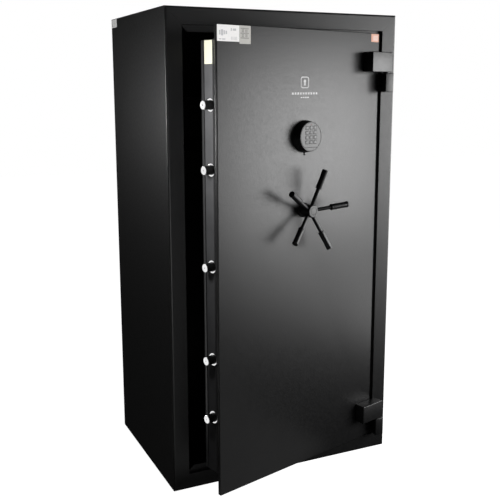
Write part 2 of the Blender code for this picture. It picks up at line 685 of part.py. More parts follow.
def build():
    """Make every piece of the safe."""
    clear_scene()
    paint = material("black_powder_coat", (0.012, 0.012, 0.013), 0.42, 0.0)
    inner_paint = material("inner_paint", (0.16, 0.16, 0.165), 0.5, 0.0)
    chrome = material("chrome_plate", (0.82, 0.82, 0.83), 0.12, 1.0)
    steel = material("zinc_plated_steel", (0.55, 0.55, 0.55), 0.35, 1.0)
    black_plastic = material("black_plastic", (0.02, 0.02, 0.021), 0.38, 0.0)
    rubber = material("key_rubber", (0.045, 0.045, 0.047), 0.6, 0.0)
    felt = material("grey_felt", (0.09, 0.09, 0.095), 0.95, 0.0)

    cabinet = Group("cabinet", (0, 0, 0))
    for side, with_stop in (("left", False), ("right", True), ("top", True), ("bottom", True)):
        frame_member("front_frame_" + side, side, with_stop, paint, cabinet)
    cabinet_panels(paint, cabinet)
    anchor_bolts(steel, cabinet)
    shelf(inner_paint, cabinet)
    barrel_rest(felt, cabinet)
    floor_mat(rubber, cabinet)

    door = Group("door_swing", HINGE_POINT, turn=math.radians(DOOR_AJAR))
    for name, levels in HINGES.items():
        hinge(name, levels, paint, steel, cabinet, door)
    door_plate(paint, door)
    door_box(inner_paint, door)
    door_back_cover(inner_paint, door)
    bolt_bushes(steel, door)
    dog_bar(steel, door)

    carriage = Group("bolt_slide", (BOLT_TIP, FRONT + BOLT_DEPTH, HANDLE_Z), door)
    locking_bolts(chrome, carriage)
    carriage_bar(steel, carriage)

    handle = Group("handle_turn", HANDLE_POINT, door)
    handle_rose(black_plastic, door)
    handle_spindle(steel, handle)
    handle_hub(black_plastic, handle)
    handle_spokes(black_plastic, handle)
    crank(steel, handle)

    lock_body(steel, door)
    lock_bolt(steel, Group("lock_bolt_slide", (HANDLE_X, FRONT + 38, LOCK_BOTTOM), door))

    keypad_housing(black_plastic, door)
    battery_cover(black_plastic, Group("battery_cover_slide", KEYPAD_POINT, door))
    keypad_keys(rubber, door)


build()
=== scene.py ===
"""Looks of the gun safe: finishes, fine surfaces, labels, studio light and camera.

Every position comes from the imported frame. Door pieces are drawn with the door shut, in the
cabinet's coordinates, and the matrix DOOR turns them to where the door stands at rest.
Lengths are in metres. MM turns millimetres into metres.
"""

import json
import math

import bmesh
import bpy
from mathutils import Matrix, Vector

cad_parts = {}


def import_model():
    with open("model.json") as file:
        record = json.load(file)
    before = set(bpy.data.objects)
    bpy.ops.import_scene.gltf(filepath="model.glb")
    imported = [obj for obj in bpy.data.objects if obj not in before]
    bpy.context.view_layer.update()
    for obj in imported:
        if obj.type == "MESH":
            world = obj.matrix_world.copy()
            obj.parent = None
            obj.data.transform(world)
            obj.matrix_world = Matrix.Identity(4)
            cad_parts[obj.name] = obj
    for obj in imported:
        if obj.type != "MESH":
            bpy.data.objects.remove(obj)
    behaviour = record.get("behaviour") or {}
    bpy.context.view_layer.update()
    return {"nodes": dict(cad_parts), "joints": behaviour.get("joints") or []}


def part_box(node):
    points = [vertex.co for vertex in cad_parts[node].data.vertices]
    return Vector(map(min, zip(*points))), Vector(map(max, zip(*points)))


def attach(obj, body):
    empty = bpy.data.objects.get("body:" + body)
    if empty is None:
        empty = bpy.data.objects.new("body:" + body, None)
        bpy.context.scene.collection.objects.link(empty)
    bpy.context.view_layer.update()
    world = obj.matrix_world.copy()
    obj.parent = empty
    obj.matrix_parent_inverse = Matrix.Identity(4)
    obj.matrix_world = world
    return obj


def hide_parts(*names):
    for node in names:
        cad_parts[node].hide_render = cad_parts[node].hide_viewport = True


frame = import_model()

MM = 0.001
SCENE = bpy.context.scene

SWING = next(joint for joint in frame["joints"] if joint["name"] == "door_swing")
HINGE_AXIS = Vector(SWING["pos_m"])
AJAR = math.radians(-SWING["range_deg"][0])
DOOR = Matrix.Translation(HINGE_AXIS) @ Matrix.Rotation(AJAR, 4, "Z") @ Matrix.Translation(-HINGE_AXIS)
OUTWARD = Vector((0, -1, 0))          # out of the shut door's face


# ---------------------------------------------------------------- places in the frame
def corners(points):
    """Low and high corner of a set of points."""
    low = Vector([min(p[i] for p in points) for i in range(3)])
    high = Vector([max(p[i] for p in points) for i in range(3)])
    return low, high


def shut_box(node):
    """Low and high corner of a door node, with the door shut."""
    back = DOOR.inverted()
    return corners([back @ v.co for v in frame["nodes"][node].data.vertices])


def axis_of(node, near):
    """Start and end of a turned node's centre line, the start being nearer to a point."""
    points = [v.co for v in frame["nodes"][node].data.vertices]
    centre = sum(points, Vector()) / len(points)
    far = max(points, key=lambda p: (p - centre).length)
    direction = (far - centre).normalized()
    for _ in range(40):
        pulled = sum(((p - centre) * (p - centre).dot(direction) for p in points), Vector())
        direction = pulled.normalized()
    reach = [(p - centre).dot(direction) for p in points]
    ends = [centre + direction * min(reach), centre + direction * max(reach)]
    ends.sort(key=lambda p: (p - near).length)
    return ends


# ---------------------------------------------------------------- mesh makers
def arc(centre_a, centre_b, radius, start, end, steps):
    """Points along an arc, angles in degrees."""
    points = []
    for step in range(steps + 1):
        angle = math.radians(start + (end - start) * step / steps)
        points.append((centre_a + radius * math.cos(angle), centre_b + radius * math.sin(angle)))
    return points


def filleted(outline, steps=5):
    """Round the corners of (a, b, radius) points. End points and radius 0 stay sharp."""
    points = []
    last = len(outline) - 1
    for index, (a, b, radius) in enumerate(outline):
        here = Vector((a, b))
        if not radius or index in (0, last):
            points.append(tuple(here))
            continue
        before = Vector(outline[index - 1][:2]) - here
        after = Vector(outline[index + 1][:2]) - here
        half = before.angle(after) / 2
        cut = min(radius / math.tan(half), before.length * 0.49, after.length * 0.49)
        start = here + before.normalized() * cut
        end = here + after.normalized() * cut
        for step in range(steps + 1):
            t = step / steps
            points.append(tuple(start * (1 - t) ** 2 + here * 2 * t * (1 - t) + end * t ** 2))
    return points


def lathe(profile, sides=64, closed=False):
    """Turn (radius, height) points about +Z. A closed profile makes a ring."""
    mesh = bmesh.new()
    rings = []
    for radius, height in profile:
        if radius < 1e-6:
            rings.append([mesh.verts.new((0, 0, height))] * sides)
            continue
        ring = []
        for step in range(sides):
            angle = 2 * math.pi * step / sides
            ring.append(mesh.verts.new((radius * math.cos(angle), radius * math.sin(angle), height)))
        rings.append(ring)
    pairs = list(zip(rings, rings[1:]))
    if closed:
        pairs.append((rings[-1], rings[0]))
    for lower, upper in pairs:
        for step in range(sides):
            after = (step + 1) % sides
            corner = []
            for vert in (lower[step], lower[after], upper[after], upper[step]):
                if vert not in corner:
                    corner.append(vert)
            mesh.faces.new(corner)
    if not closed:
        for ring in (rings[0], rings[-1]):
            if ring[0] is not ring[1]:
                mesh.faces.new(ring)
    bmesh.ops.recalc_face_normals(mesh, faces=mesh.faces)
    return mesh


def placed(mesh, point, direction):
    """Move a turned mesh so that its +Z runs along a direction from a point."""
    turn = Vector((0, 0, 1)).rotation_difference(Vector(direction)).to_matrix().to_4x4()
    mesh.transform(Matrix.Translation(Vector(point)) @ turn)
    return mesh


def block(low, high, radius=0.0, steps=3):
    """A rectangular block between two corners, with rounded edges."""
    mesh = bmesh.new()
    bmesh.ops.create_cube(mesh, size=1.0)
    size = Vector(high) - Vector(low)
    bmesh.ops.scale(mesh, vec=size, verts=mesh.verts)
    bmesh.ops.translate(mesh, vec=(Vector(low) + Vector(high)) / 2, verts=mesh.verts)
    if radius:
        bmesh.ops.bevel(mesh, geom=mesh.edges[:], offset=radius, segments=steps, profile=0.5,
                        affect="EDGES", clamp_overlap=True)
    return mesh


def extruded(bottom, top):
    """Join two matching outlines of 3-D points into one closed solid."""
    mesh = bmesh.new()
    low = [mesh.verts.new(p) for p in bottom]
    high = [mesh.verts.new(p) for p in top]
    count = len(low)
    for step in range(count):
        after = (step + 1) % count
        mesh.faces.new((low[step], low[after], high[after], high[step]))
    mesh.faces.new(list(reversed(low)))
    mesh.faces.new(high)
    bmesh.ops.recalc_face_normals(mesh, faces=mesh.faces)
    return mesh


def sheet_outline(width, height, radius, steps=5):
    """Rounded rectangle about (0, 0), as (a, b) points."""
    points = []
    for a, b, start in ((1, 1, 0), (-1, 1, 90), (-1, -1, 180), (1, -1, 270)):
        centre_a = a * (width / 2 - radius)
        centre_b = b * (height / 2 - radius)
        points += arc(centre_a, centre_b, radius, start, start + 90, steps)
    return points


def joined(meshes):
    """Several meshes as one."""
    whole = bmesh.new()
    for mesh in meshes:
        scratch = bpy.data.meshes.new("scratch")
        mesh.to_mesh(scratch)
        mesh.free()
        whole.from_mesh(scratch)
        bpy.data.meshes.remove(scratch)
    return whole


def painted(mesh, index):
    """Give every face of a mesh one material index."""
    for face in mesh.faces:
        face.material_index = index
    return mesh


def carved(target, cutter, operation="DIFFERENCE"):
    """Boolean of two meshes, worked out on scratch objects."""
    made = []
    for name, mesh in (("scratch_target", target), ("scratch_cutter", cutter)):
        data = bpy.data.meshes.new(name)
        mesh.to_mesh(data)
        mesh.free()
        made.append(bpy.data.objects.new(name, data))
        SCENE.collection.objects.link(made[-1])
    modifier = made[0].modifiers.new("cut", "BOOLEAN")
    modifier.operation = operation
    modifier.solver = "EXACT"
    modifier.object = made[1]
    whole = bmesh.new()
    evaluated = made[0].evaluated_get(bpy.context.evaluated_depsgraph_get())
    whole.from_mesh(evaluated.to_mesh())
    evaluated.to_mesh_clear()
    for scratch in made:
        data = scratch.data
        bpy.data.objects.remove(scratch)
        bpy.data.meshes.remove(data)
    return whole


# ---------------------------------------------------------------- pieces
def piece(name, mesh, finishes, body, replaces=(), shut=False, sharp=35):
    """Turn a mesh into a shaded object that rides on a body."""
    if shut:
        mesh.transform(DOOR)
    data = bpy.data.meshes.new(name)
    mesh.to_mesh(data)
    mesh.free()
    data.shade_smooth()
    data.set_sharp_from_angle(angle=math.radians(sharp))
    for finish in finishes:
        data.materials.append(finish)
    made = bpy.data.objects.new(name, data)
    SCENE.collection.objects.link(made)
    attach(made, body)
    if replaces:
        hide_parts(*replaces)
    return made


# ---------------------------------------------------------------- materials
class Finish:
    """A node material, built in layers over one Principled shader."""

    def __init__(self, name, metallic=0.0, specular=0.5):
        self.material = bpy.data.materials.new(name)
        self.material.use_nodes = True
        self.tree = self.material.node_tree
        self.shader = self.tree.nodes["Principled BSDF"]
        self.shader.inputs["Metallic"].default_value = metallic
        self.shader.inputs["Specular IOR Level"].default_value = specular
        self.place = self.tree.nodes.new("ShaderNodeTexCoord").outputs["Object"]
        self.normal = None

    def link(self, start, end):
        """Join an output to an input."""
        self.tree.links.new(start, end)

    def set(self, socket, value):
        """Give a plain value to a socket of the shader."""
        self.shader.inputs[socket].default_value = value

    def noise(self, size, detail=2.0, stretch=(1, 1, 1)):
        """Noise whose features are about size across, drawn out along the stretched axes."""
        mapping = self.tree.nodes.new("ShaderNodeMapping")
        mapping.inputs["Scale"].default_value = [1 / s for s in stretch]
        self.link(self.place, mapping.inputs["Vector"])
        texture = self.tree.nodes.new("ShaderNodeTexNoise")
        texture.inputs["Scale"].default_value = 1 / size
        texture.inputs["Detail"].default_value = detail
        self.link(mapping.outputs["Vector"], texture.inputs["Vector"])
        return texture.outputs["Fac"]

    def cells(self, size):
        """Distance to the nearest point of a scatter about size apart."""
        texture = self.tree.nodes.new("ShaderNodeTexVoronoi")
        texture.inputs["Scale"].default_value = 1 / size
        self.link(self.place, texture.inputs["Vector"])
        return texture.outputs["Distance"]

    def span(self, value, low, high, start=0.3, end=0.7):
        """A value spread from low to high."""
        node = self.tree.nodes.new("ShaderNodeMapRange")
        node.inputs["From Min"].default_value = start
        node.inputs["From Max"].default_value = end
        node.inputs["To Min"].default_value = low
        node.inputs["To Max"].default_value = high
        self.link(value, node.inputs["Value"])
        return node.outputs["Result"]

    def tint(self, value, dark, light, start=0.3, end=0.7):
        """Colour between two tones, by a value."""
        node = self.tree.nodes.new("ShaderNodeMix")
        node.data_type = "RGBA"
        node.inputs["A"].default_value = (*dark, 1.0)
        node.inputs["B"].default_value = (*light, 1.0)
        self.link(self.span(value, 0.0, 1.0, start, end), node.inputs["Factor"])
        for output in node.outputs:
            if output.type == "RGBA":
                self.link(output, self.shader.inputs["Base Color"])

    def gloss(self, value, low, high):
        """Roughness between two values, by a value."""
        self.link(self.span(value, low, high), self.shader.inputs["Roughness"])

    def bump(self, value, depth):
        """One more layer of relief, depth metres high."""
        node = self.tree.nodes.new("ShaderNodeBump")
        node.inputs["Distance"].default_value = depth
        node.inputs["Strength"].default_value = 1.0
        self.link(value, node.inputs["Height"])
        if self.normal:
            self.link(self.normal, node.inputs["Normal"])
        self.normal = node.outputs["Normal"]
        self.link(self.normal, self.shader.inputs["Normal"])


def shades(colour, spread):
    """A colour made darker and lighter by a share."""
    return [c * (1 - spread) for c in colour], [c * (1 + spread) for c in colour]


def powder_coat(name, colour, roughness, spread=0.12, specular=0.5):
    """Satin powder coat: fine grain over a faint orange peel."""
    finish = Finish(name, specular=specular)
    grain = finish.noise(0.7 * MM, 2.0)
    finish.tint(finish.noise(60 * MM, 4.0), *shades(colour, spread))
    finish.gloss(finish.noise(9 * MM, 3.0), roughness - 0.03, roughness + 0.03)
    finish.bump(finish.noise(5.5 * MM, 3.0), 0.16 * MM)
    finish.bump(grain, 0.03 * MM)
    return finish.material


def chrome(name):
    """Bright plate with faint turning marks and finger haze."""
    finish = Finish(name, metallic=1.0)
    finish.tint(finish.noise(14 * MM, 3.0), (0.80, 0.80, 0.81), (0.90, 0.90, 0.90))
    finish.gloss(finish.noise(4 * MM, 3.0), 0.06, 0.12)
    finish.bump(finish.noise(0.5 * MM, 2.0), 0.006 * MM)
    return finish.material


def zinc(name):
    """Zinc plate: a slightly dull, mottled grey metal."""
    finish = Finish(name, metallic=1.0)
    finish.tint(finish.noise(7 * MM, 4.0), (0.44, 0.44, 0.45), (0.66, 0.66, 0.65))
    finish.gloss(finish.cells(3 * MM), 0.26, 0.44)
    finish.bump(finish.noise(0.8 * MM, 2.0), 0.012 * MM)
    return finish.material


def moulded(name, colour, roughness, grain=0.5):
    """Fine-textured moulded plastic or rubber."""
    finish = Finish(name)
    finish.tint(finish.noise(18 * MM, 3.0), *shades(colour, 0.15))
    finish.gloss(finish.noise(2.5 * MM, 3.0), roughness - 0.04, roughness + 0.05)
    finish.bump(finish.noise(grain * MM, 2.0), 0.02 * MM)
    return finish.material


def felt(name, colour):
    """Short-pile felt: matted fibres with a soft sheen."""
    finish = Finish(name, specular=0.2)
    fibres = finish.noise(1.1 * MM, 5.0, (1.0, 1.0, 3.0))
    finish.tint(fibres, *shades(colour, 0.35))
    finish.set("Roughness", 0.95)
    finish.set("Sheen Weight", 0.35)
    finish.set("Sheen Roughness", 0.5)
    finish.bump(fibres, 0.35 * MM)
    finish.bump(finish.noise(12 * MM, 3.0), 0.5 * MM)
    return finish.material


def paper(name, colour, spread=0.03):
    """Printed vinyl or paper label stock."""
    finish = Finish(name)
    finish.tint(finish.noise(5 * MM, 4.0), *shades(colour, spread))
    finish.gloss(finish.noise(3 * MM, 2.0), 0.42, 0.55)
    finish.bump(finish.noise(2 * MM, 3.0), 0.015 * MM)
    return finish.material


BLACK_PAINT = powder_coat("black_powder_coat", (0.0045, 0.0045, 0.0047), 0.38)
INNER_PAINT = powder_coat("inner_paint", (0.098, 0.098, 0.101), 0.5, specular=0.1)
COVER_PAINT = powder_coat("cover_paint", (0.028, 0.028, 0.029), 0.33)
CHROME = chrome("chrome_plate")
ZINC = zinc("zinc_plated_steel")
BUSH_STEEL = chrome("bright_bush")
DARK_STEEL = moulded("blackened_steel", (0.012, 0.012, 0.012), 0.30)
BLACK_PLASTIC = moulded("black_plastic", (0.007, 0.007, 0.0075), 0.38)
KEYPAD_PLASTIC = moulded("keypad_plastic", (0.007, 0.007, 0.0075), 0.37)
BLACK_GRIP = moulded("black_grip", (0.005, 0.005, 0.0055), 0.33)
KEY_RUBBER = moulded("key_rubber", (0.030, 0.030, 0.031), 0.40)
KEY_PRINT = paper("key_print", (0.36, 0.36, 0.36))
RED_LENS = moulded("red_lens", (0.20, 0.012, 0.010), 0.15)
MAT_RUBBER = moulded("mat_rubber", (0.030, 0.030, 0.031), 0.72, 0.9)
FELT = felt("grey_felt", (0.045, 0.045, 0.047))
WHITE_PAPER = paper("white_label", (0.80, 0.79, 0.78))
PALE_PRINT = paper("pale_print", (0.46, 0.46, 0.47), 0.06)
GREY_PAPER = paper("grey_label", (0.40, 0.39, 0.36), 0.05)
GREY_PRINT = paper("grey_print", (0.20, 0.195, 0.18), 0.10)
YELLOW_PAPER = paper("pale_yellow_label", (0.86, 0.85, 0.66))
ORANGE_PAPER = paper("orange_label", (0.56, 0.26, 0.17), 0.06)
PINK_PAPER = paper("pale_pink_label", (0.60, 0.40, 0.34), 0.05)
EMBLEM_INK = paper("light_grey_ink", (0.52, 0.52, 0.52), 0.04)

NODE_FINISHES = {
    "front_frame_left": BLACK_PAINT, "front_frame_right": BLACK_PAINT,
    "front_frame_top": BLACK_PAINT, "front_frame_bottom": BLACK_PAINT,
    "side_panel_left": BLACK_PAINT, "side_panel_right": BLACK_PAINT,
    "top_panel": BLACK_PAINT, "base_panel": BLACK_PAINT, "back_panel": BLACK_PAINT,
    "anchor_bolt_left": ZINC, "anchor_bolt_right": ZINC, "shelf": BLACK_PAINT,
    "barrel_rest": FELT, "floor_mat": MAT_RUBBER, "hinge_base_top": BLACK_PAINT,
    "hinge_base_bottom": BLACK_PAINT, "hinge_pin_top": DARK_STEEL, "hinge_pin_bottom": DARK_STEEL,
    "door_plate": BLACK_PAINT, "door_box": INNER_PAINT, "door_back_cover": INNER_PAINT,
    "hinge_arm_top": BLACK_PAINT, "hinge_arm_bottom": BLACK_PAINT, "hinge_side_dog_bar": ZINC,
    "handle_rose": BLACK_PLASTIC, "lock_body": ZINC, "keypad_housing": BLACK_PLASTIC,
    "carriage_bar": ZINC, "handle_spindle": ZINC, "handle_hub": BLACK_PLASTIC, "crank": ZINC,
    "lock_bolt": ZINC, "battery_cover": BLACK_PLASTIC,
}


def finish_of(node):
    """Material of a CAD node, by its name or its numbered family."""
    families = {"bolt_bush": ZINC, "locking_bolt": CHROME, "handle_spoke": BLACK_PLASTIC,
                "key": KEY_RUBBER}
    return NODE_FINISHES.get(node) or families[node.rsplit("_", 1)[0]]


def finish_nodes():
    """Put the node materials on every CAD node."""
    for name, node in frame["nodes"].items():
        node.data.materials.clear()
        node.data.materials.append(finish_of(name))


# ---------------------------------------------------------------- door shell
PLATE_LOW, PLATE_HIGH = shut_box("door_plate")
FACE = PLATE_LOW.y                    # y of the shut door's front face
DOOR_LEFT = PLATE_LOW.x
BOX_LOW, BOX_HIGH = shut_box("door_box")
HANDLE_LOW, HANDLE_HIGH = shut_box("handle_rose")
HANDLE_X = (HANDLE_LOW.x + HANDLE_HIGH.x) / 2
HANDLE_Z = (HANDLE_LOW.z + HANDLE_HIGH.z) / 2
SPINDLE_RADIUS = 8 * MM
BOLTS = 5


def on_face(x, z, out=0.0):
    """A point on the shut door's face, or out millimetres in front of it."""
    return Vector((x, FACE - out * MM, z))


def bar(start, direction, radius, length, sides=48):
    """Plain round cutter."""
    return placed(lathe([(radius, 0.0), (radius, length)], sides), start, direction)


def door_plate():
    """Thick front plate with softly rounded edges, drilled for the spindle."""
    slab = block(PLATE_LOW, PLATE_HIGH, 1.6 * MM, 4)
    drill = bar(on_face(HANDLE_X, HANDLE_Z, 5), -OUTWARD, SPINDLE_RADIUS + 1 * MM, 30 * MM)
    return piece("door_plate_shell", carved(slab, drill), [BLACK_PAINT], "door",
                 ["door_plate"], shut=True)


def screw(point, direction, radius, out):
    """Low round head with a hexagon socket."""
    profile = filleted([(0, 0, 0), (radius, 0, 0), (radius, out, out * 0.55), (0, out, 0)])
    head = placed(lathe(profile, 32), point, direction)
    socket = placed(lathe([(radius * 0.45, out * 0.35), (radius * 0.45, out * 2)], 6), point, direction)
    return carved(head, socket)


def door_back_cover():
    """Back cover of the bolt box: a board on a gasket whose black is partly painted shade, with pressed
    panels and edge screws.
    """
    low, high = shut_box("door_back_cover")
    neck = 4.0 * MM                   # thickness that the gasket takes
    border = 70 * MM                  # from the edge to a pressed panel
    bridge = 25 * MM                  # from the middle to a pressed panel
    middle = (low.z + high.z) / 2
    board = painted(block((low.x, low.y + neck, low.z), high, 1.2 * MM, 3), 0)
    for bottom, top in ((low.z + border, middle - bridge), (middle + bridge, high.z - border)):
        cut = block((low.x + border, high.y - 2.5 * MM, bottom),
                    (high.x - border, high.y + 5 * MM, top), 2 * MM)
        board = carved(board, cut)
    inset = 2.8 * MM
    # painted shade: the black gasket sits in the groove under the board's edge and darkens it as shade
    # would
    gasket_and_groove_shade = block((low.x + inset, low.y, low.z + inset),
                   (high.x - inset, low.y + neck + 1 * MM, high.z - inset))
    board = joined([board, painted(gasket_and_groove_shade, 1)])
    sheet = piece("door_back_cover_board", board, [COVER_PAINT, MAT_RUBBER], "door",
                  ["door_back_cover"], shut=True)

    inset = 22 * MM
    rows = 6
    places = []
    for row in range(rows):
        z = low.z + inset + (high.z - low.z - 2 * inset) * row / (rows - 1)
        places += [(low.x + inset, z), (high.x - inset, z)]
    third = (high.x - low.x) / 3
    for x in (low.x + third, high.x - third):
        places += [(x, low.z + inset), (x, high.z - inset)]
    heads = [screw((x, high.y, z), (0, 1, 0), 5 * MM, 2.2 * MM) for x, z in places]
    piece("cover_screws", joined(heads), [ZINC], "door", shut=True)
    return sheet


def hinges():
    """Door arms and frame blocks with rounded edges, pin bores and side screws."""
    bore = 6.4 * MM
    rounding = 2.2 * MM
    for end in ("top", "bottom"):
        pin_low, pin_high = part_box("hinge_pin_" + end)
        foot = ((pin_low.x + pin_high.x) / 2, (pin_low.y + pin_high.y) / 2, pin_low.z - 1 * MM)
        depth = pin_high.z - pin_low.z + 2 * MM

        low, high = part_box("hinge_base_" + end)
        base = carved(block(low, high, rounding, 4), bar(foot, (0, 0, 1), bore, depth))
        piece("hinge_block_" + end, base, [BLACK_PAINT], "cabinet",
              ["hinge_base_" + end])

        low, high = shut_box("hinge_arm_" + end)
        corner = Matrix.Translation((high.x, high.y, low.z))
        relief = block((-20 * MM, -8.0 * MM * math.sqrt(0.5), -1 * MM),
                       (20 * MM, 20 * MM, high.z - low.z + 1 * MM))
        relief.transform(corner @ Matrix.Rotation(math.radians(-45), 4, "Z"))
        arm = carved(carved(block(low, high, rounding, 4), relief), bar(foot, (0, 0, 1), bore, depth))
        piece("hinge_arm_block_" + end, arm, [BLACK_PAINT], "door",
              ["hinge_arm_" + end], shut=True)
        screw_centre = (high.x, low.y + 4.6 * MM, (low.z + high.z) / 2 - 2 * MM)
        side_screw = screw(screw_centre, (1, 0, 0), 3.6 * MM, 3.0 * MM)
        piece("hinge_grub_screw_" + end, side_screw, [DARK_STEEL], "door", shut=True)


def dark_seal_for_plate_shadow():
    """Black seal round the bolt box, close behind the plate, cut away round the bushes; its black is
    painted shadow, standing for the plate's shadow on the box.
    """
    thick = 1.2 * MM
    low = Vector((BOX_LOW.x - thick, FACE + 58 * MM, BOX_LOW.z - thick))
    high = Vector((BOX_HIGH.x + thick, FACE + 66 * MM, BOX_HIGH.z + thick))
    band = block(low, high, 0.5 * MM, 2)
    core = block((BOX_LOW.x - 0.05 * MM, low.y - 1 * MM, BOX_LOW.z - 0.05 * MM),
                 (BOX_HIGH.x + 0.05 * MM, high.y + 1 * MM, BOX_HIGH.z + 0.05 * MM))
    seal = carved(band, core)
    for number in range(1, BOLTS + 1):
        bush_low, bush_high = shut_box(f"bolt_bush_{number}")
        middle = (bush_low + bush_high) / 2
        opening = (bush_high.z - bush_low.z) / 2 + 0.3 * MM
        start = (bush_low.x - 5 * MM, middle.y, middle.z)
        seal = carved(seal, bar(start, (1, 0, 0), opening, 20 * MM))
    # painted shadow: the seal's black darkens the box just behind the plate, where the plate's shadow
    # falls
    piece("door_seal", seal, [MAT_RUBBER], "door", shut=True)


# ---------------------------------------------------------------- bolts
def bolts_and_bushes():
    """Bolts with dark shanks and bright turned tips, each in a bright flanged bush."""
    bright = []
    for number in range(1, BOLTS + 1):
        low, high = shut_box(f"locking_bolt_{number}")
        radius = (high.z - low.z) / 2
        length = high.x - low.x
        centre = Vector((low.x, (low.y + high.y) / 2, (low.z + high.z) / 2))
        outline = [(0, 0.7 * MM, 0), (1.6 * MM, 0.7 * MM, 0.3 * MM), (2.2 * MM, 0, 0.3 * MM),
                   (radius - 1.3 * MM, 0, 0.8 * MM), (radius, 1.3 * MM, 0.8 * MM),
                   (radius, 3.0 * MM, 0), (radius, length - 1 * MM, 0), (radius - 1 * MM, length, 0),
                   (0, length, 0)]
        bolt = placed(lathe(filleted(outline), 72), centre, (1, 0, 0))
        for face in bolt.faces:
            face.material_index = int(face.calc_center_median().x > low.x + 2.2 * MM)
        bright.append(piece(f"chromed_bolt_{number}", bolt, [CHROME, DARK_STEEL], "bolt_work",
                            [f"locking_bolt_{number}"], shut=True))
        low, high = shut_box(f"bolt_bush_{number}")
        flange = (high.z - low.z) / 2
        edge = BOX_LOW.x - low.x
        outline = [(radius + 0.5 * MM, high.x - low.x, 0), (radius + 0.5 * MM, 0, 0.8 * MM),
                   (flange, 0, 1.6 * MM), (flange, edge - 0.3 * MM, 0), (16 * MM, edge - 0.3 * MM, 0),
                   (16 * MM, high.x - low.x, 0)]
        ring = placed(lathe(filleted(outline), 72, closed=True), (low.x, centre.y, centre.z), (1, 0, 0))
        bright.append(piece(f"flanged_bush_{number}", ring, [BUSH_STEEL], "door",
                            [f"bolt_bush_{number}"], shut=True))
    return bright


# ---------------------------------------------------------------- handle
SPOKES = 5
ROD_RADIUS = 5.8 * MM
GRIP_RADIUS = 9.4 * MM
GRIP_FROM = 62.5 * MM                 # where the grip starts, along the spoke's solid


def handle():
    """Rose, bored hub with a cap, and five spokes with grooved grips."""
    bore = SPINDLE_RADIUS + 0.6 * MM
    radius = (HANDLE_HIGH.z - HANDLE_LOW.z) / 2
    out = FACE - HANDLE_LOW.y
    outline = [(bore, 0.3 * MM, 0), (radius, 0.3 * MM, 0.4 * MM), (radius, out - 3 * MM, 2 * MM),
               (radius - 3.5 * MM, out, 1.5 * MM), (bore, out, 0)]
    face = on_face(HANDLE_X, HANDLE_Z)
    rose = placed(lathe(filleted(outline), 80, closed=True), face, OUTWARD)
    piece("handle_rose_plate", rose, [BLACK_PLASTIC], "door", ["handle_rose"], shut=True)

    low, high = shut_box("handle_hub")
    radius = (high.z - low.z) / 2
    start = FACE - high.y
    end = FACE - low.y
    outline = [(0, start, 0), (radius, start, 1.2 * MM), (radius, start + 5 * MM, 0.3 * MM),
               (radius - 0.7 * MM, start + 5.4 * MM, 0.2 * MM),
               (radius - 0.7 * MM, start + 6.2 * MM, 0.2 * MM),
               (radius, start + 6.6 * MM, 0.3 * MM), (radius, end - 2.4 * MM, 2 * MM),
               (radius - 2.4 * MM, end, 2 * MM), (12.6 * MM, end, 0.3 * MM),
               (12.2 * MM, end - 0.7 * MM, 0.2 * MM), (11.6 * MM, end - 0.7 * MM, 0.2 * MM),
               (11.2 * MM, end - 0.1 * MM, 0.4 * MM), (0, end, 0)]
    hub = placed(lathe(filleted(outline), 80), face, OUTWARD)
    hub.transform(DOOR)
    spindle_out = DOOR @ on_face(HANDLE_X, HANDLE_Z, 24.4)
    inward = (DOOR @ on_face(HANDLE_X, HANDLE_Z) - DOOR @ on_face(HANDLE_X, HANDLE_Z, 1)).normalized()
    hub = carved(hub, bar(spindle_out, inward, SPINDLE_RADIUS + 0.4 * MM, 26 * MM))
    pivot = DOOR @ on_face(HANDLE_X, HANDLE_Z, 30)
    for number in range(1, SPOKES + 1):
        root, tip = axis_of(f"handle_spoke_{number}", pivot)
        along = (tip - root).normalized()
        hub = carved(hub, bar(root - along * 0.5 * MM, along, ROD_RADIUS + 0.4 * MM, 20 * MM, 32))
        length = (tip - root).length
        middle = (GRIP_FROM + length) / 2
        outline = [(0, 0, 0), (ROD_RADIUS, 0, 0.6 * MM), (ROD_RADIUS, GRIP_FROM - 1.0 * MM, 0.4 * MM),
                   (GRIP_RADIUS + 0.5 * MM, GRIP_FROM - 0.6 * MM, 0.9 * MM),
                   (GRIP_RADIUS + 0.5 * MM, GRIP_FROM + 3.4 * MM, 0.9 * MM),
                   (GRIP_RADIUS - 0.6 * MM, GRIP_FROM + 3.9 * MM, 0.3 * MM),
                   (GRIP_RADIUS - 0.6 * MM, GRIP_FROM + 4.9 * MM, 0.3 * MM),
                   (GRIP_RADIUS, GRIP_FROM + 5.3 * MM, 0.3 * MM),
                   (GRIP_RADIUS - 0.4 * MM, middle, 9 * MM), (GRIP_RADIUS, length - 7 * MM, 0.3 * MM),
                   (GRIP_RADIUS - 0.6 * MM, length - 6.6 * MM, 0.3 * MM),
                   (GRIP_RADIUS - 0.6 * MM, length - 5.8 * MM, 0.3 * MM),
                   (GRIP_RADIUS + 0.2 * MM, length - 5.4 * MM, 0.3 * MM),
                   (GRIP_RADIUS + 0.2 * MM, length - 0.9 * MM, 1.2 * MM),
                   (GRIP_RADIUS - 3 * MM, length, 1.5 * MM), (0, length, 0)]
        spoke = placed(lathe(filleted(outline), 48), root, along)
        piece(f"spoke_with_grip_{number}", spoke, [BLACK_GRIP], "handle",
              [f"handle_spoke_{number}"])
    piece("handle_hub_turned", hub, [BLACK_PLASTIC], "handle", ["handle_hub"])


# ---------------------------------------------------------------- keypad
KEY_LEGENDS = "123456789*0#"


